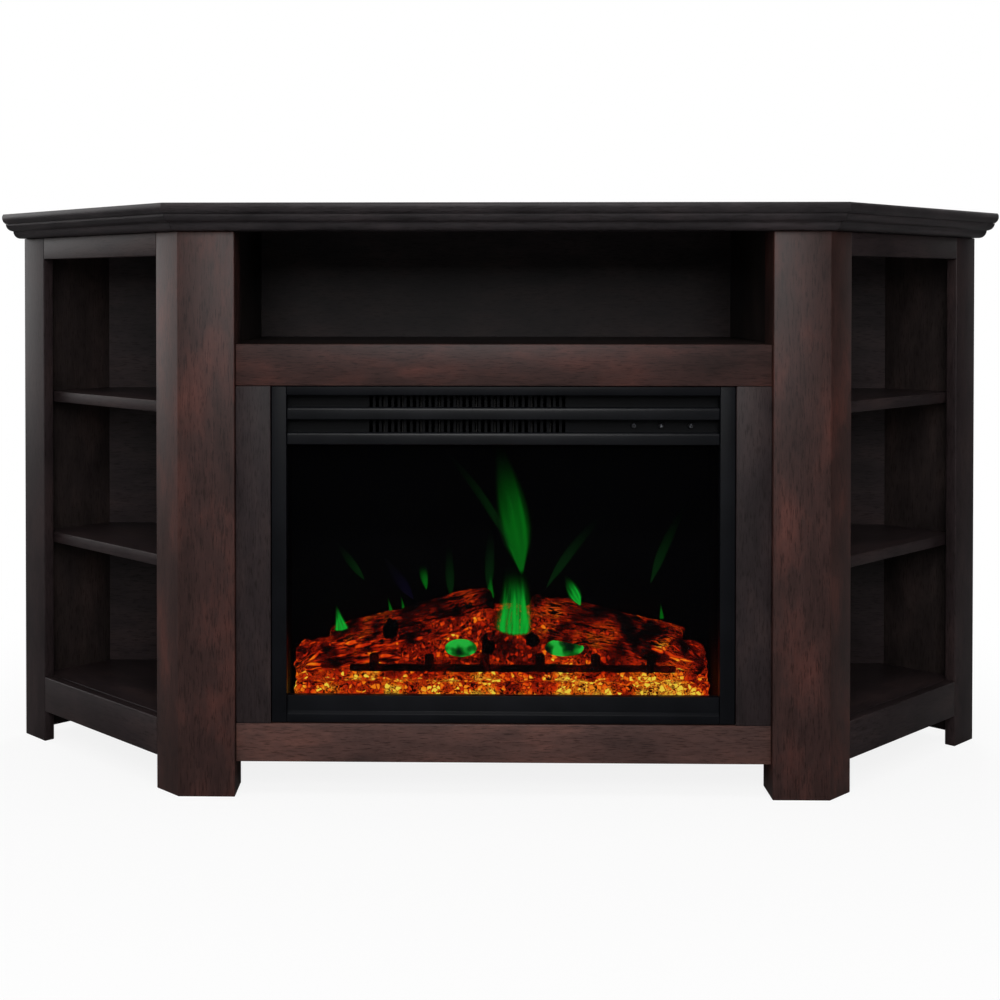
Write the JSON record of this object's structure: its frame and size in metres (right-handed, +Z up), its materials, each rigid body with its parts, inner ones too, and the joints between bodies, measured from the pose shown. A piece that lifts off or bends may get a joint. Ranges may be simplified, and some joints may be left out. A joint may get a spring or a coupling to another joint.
{
  "type": "corner fireplace",
  "caption": "Free-standing corner media fireplace: stained wood cabinet with an open niche, angled side shelves and an electric log-fire insert with glass front.",
  "frame": {"origin": "middle of the footprint of the whole object, on the floor it stands on", "axes": "+X to the right seen from the front, +Y towards the room corner behind it, +Z up"},
  "size_m": [1.422, 0.385, 0.755],
  "materials": {
    "top_veneer": "satin",
    "front_veneer": "satin",
    "inner_veneer": "satin",
    "black_trim": "satin",
    "case_steel": "matte",
    "tinted_glass": "polished",
    "black_plastic": "satin",
    "ember_resin": "rough",
    "log_resin": "rough",
    "grate_resin": "rough",
    "smoked_screen": "gloss",
    "bright_aluminium": "satin",
    "heater_ceramic": "matte",
    "circuit_board": "satin"
  },
  "bodies": {
    "fireplace": {"top_board": "top_veneer", "crown_moulding_front": "top_veneer", "crown_moulding_left": "top_veneer", "crown_moulding_right": "top_veneer", "front_post_left": "front_veneer", "front_post_right": "front_veneer", "rear_post_left": "front_veneer", "rear_post_right": "front_veneer", "header_rail": "front_veneer", "front_bottom_rail": "front_veneer", "filler_strip_left": "front_veneer", "filler_strip_right": "front_veneer", "side_top_rail_left": "front_veneer", "side_top_rail_right": "front_veneer", "side_bottom_rail_left": "front_veneer", "side_bottom_rail_right": "front_veneer", "side_shelf_bottom_left": "inner_veneer", "side_shelf_bottom_right": "inner_veneer", "side_shelf_lower_left": "inner_veneer", "side_shelf_lower_right": "inner_veneer", "side_shelf_upper_left": "inner_veneer", "side_shelf_upper_right": "inner_veneer", "divider_left": "inner_veneer", "divider_right": "inner_veneer", "wall_panel_left": "inner_veneer", "wall_panel_right": "inner_veneer", "back_panel": "inner_veneer", "niche_shelf": "inner_veneer", "insert_platform": "inner_veneer", "insert_trim_left": "black_trim", "insert_trim_right": "black_trim", "insert_trim_top": "black_trim", "insert_sill": "black_trim", "louvre_upper": "black_trim", "louvre_lower": "black_trim", "vent_panel": "black_trim", "glass_pane": "tinted_glass", "case_floor": "case_steel", "case_roof": "case_steel", "case_wall_left": "case_steel", "case_wall_right": "case_steel", "case_back": "case_steel", "plenum_floor": "case_steel", "ember_bed": "ember_resin", "log_left": "log_resin", "log_right": "log_resin", "fire_grate": "grate_resin", "led_board": "circuit_board", "flame_screen": "smoked_screen", "spindle_motor": "black_plastic", "blower_housing": "case_steel", "blower_motor": "black_plastic", "heater_element": "heater_ceramic", "control_board": "circuit_board", "cord_inlet": "black_plastic"},
    "power_button": {"power_button": "black_plastic"},
    "heat_button": {"heat_button": "black_plastic"},
    "flame_button": {"flame_button": "black_plastic"},
    "flame_spindle": {"flame_spindle": "bright_aluminium"},
    "blower_wheel": {"blower_wheel": "bright_aluminium"}
  },
  "joints": [
    {"name": "power_press", "type": "slide", "parent": "fireplace", "child": "power_button", "axis": [0, 1, 0], "range_m": [0, 0.001], "stiffness_N_per_m": 300},
    {"name": "heat_press", "type": "slide", "parent": "fireplace", "child": "heat_button", "axis": [0, 1, 0], "range_m": [0, 0.001], "stiffness_N_per_m": 300},
    {"name": "flame_press", "type": "slide", "parent": "fireplace", "child": "flame_button", "axis": [0, 1, 0], "range_m": [0, 0.001], "stiffness_N_per_m": 300},
    {"name": "flame_spindle_turn", "type": "hinge", "parent": "fireplace", "child": "flame_spindle", "pos_m": [0, -0.0022, 0.1723], "axis": [1, 0, 0], "continuous": true},
    {"name": "blower_turn", "type": "hinge", "parent": "fireplace", "child": "blower_wheel", "pos_m": [-0.045, -0.0765, 0.4863], "axis": [1, 0, 0], "continuous": true}
  ]
}
